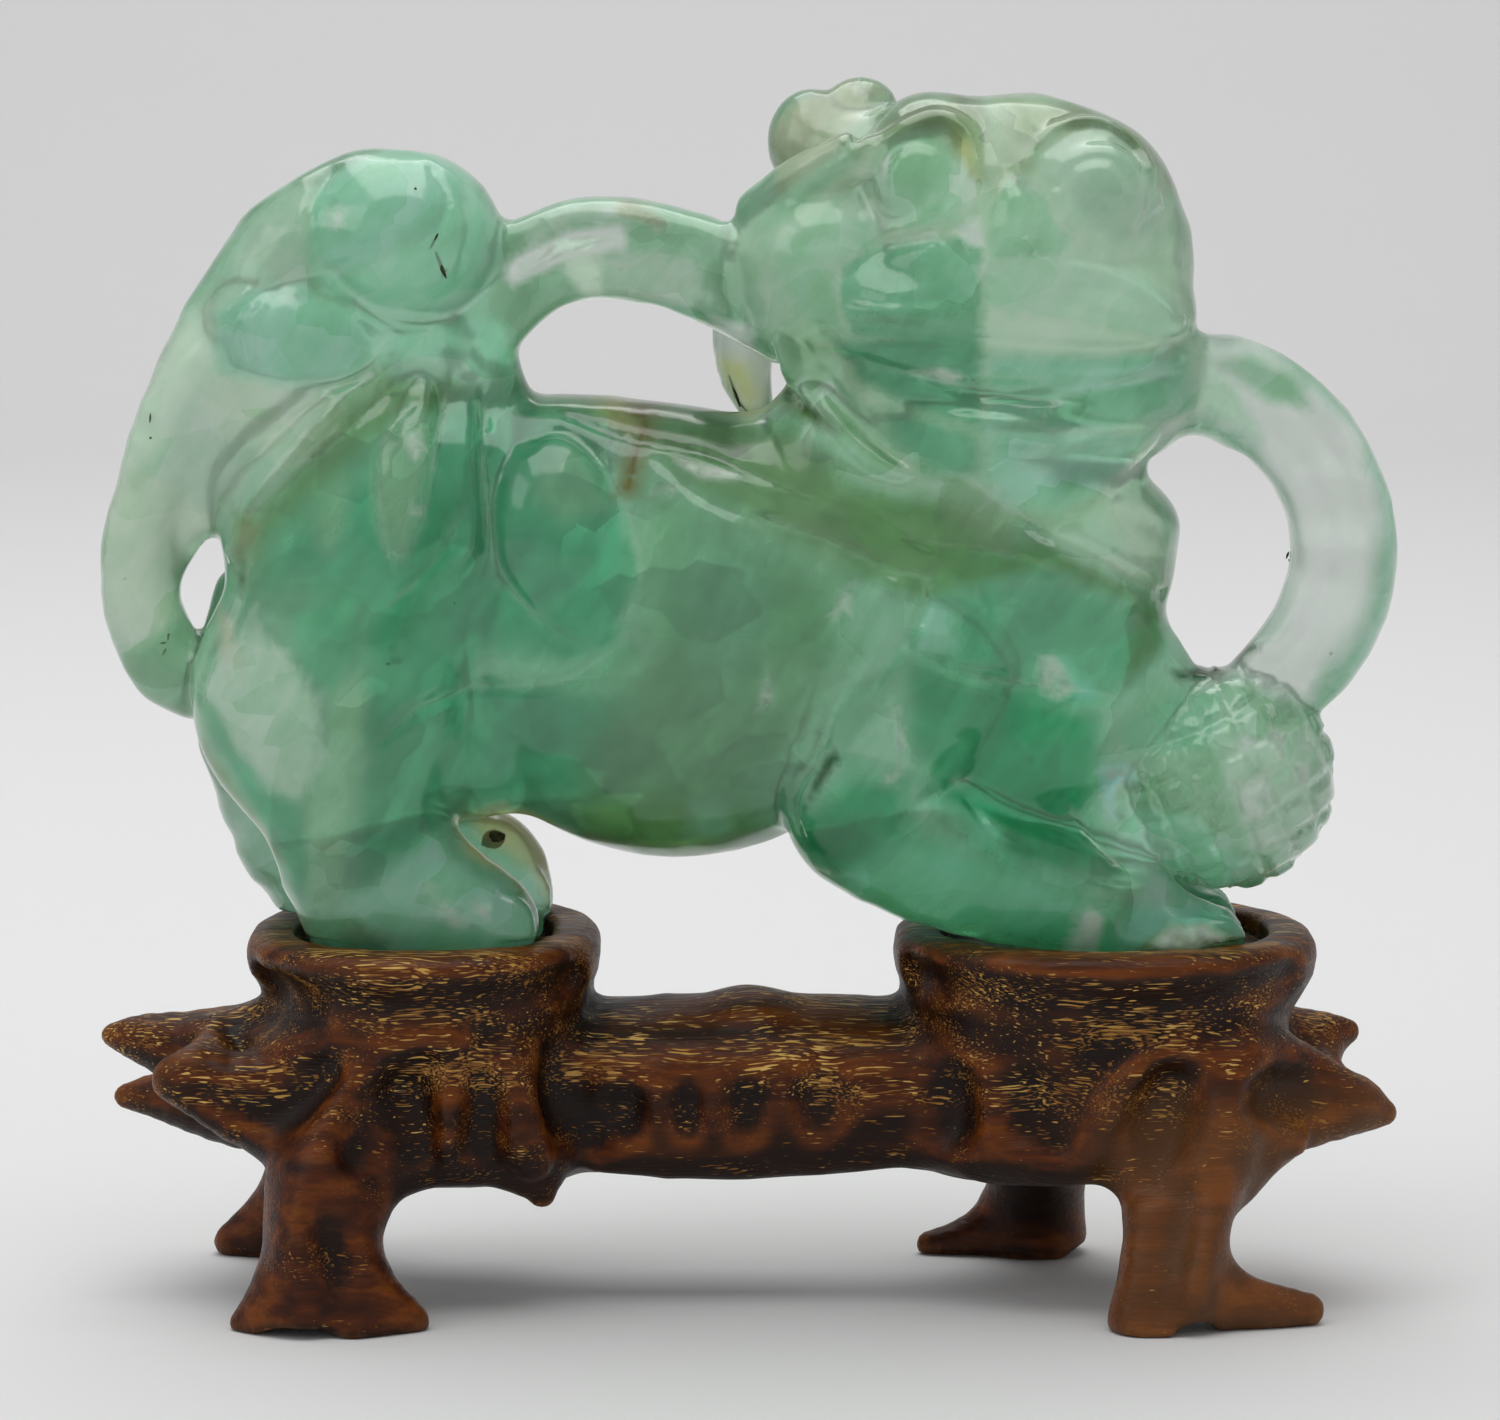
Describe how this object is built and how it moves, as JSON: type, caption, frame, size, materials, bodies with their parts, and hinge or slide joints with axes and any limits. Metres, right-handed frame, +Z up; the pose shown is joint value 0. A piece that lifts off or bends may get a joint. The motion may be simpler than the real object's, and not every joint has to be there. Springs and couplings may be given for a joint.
{
  "type": "foo dog figure on a rootwood stand",
  "caption": "Guardian lion carved in clear green stone, crouching over a brocade ball with a ribbon in its mouth, on a dark carved rootwood stand.",
  "frame": {"origin": "on the floor, under the middle of the bounding box of the whole piece", "axes": "+X from the tail towards the ball, -Y towards the viewer whom the dog faces, +Z up"},
  "size_m": [0.179, 0.0618, 0.168],
  "materials": {
    "green_fluorite": "clear to cloudy green stone with pale veils and brown specks, hand polished",
    "carved_rosewood": "dark reddish brown hardwood with short tan pores, oiled and worn to a low sheen"
  },
  "bodies": {
    "root": {"foo_dog": "green_fluorite", "rootwood_stand": "carved_rosewood"}
  },
  "joints": []
}
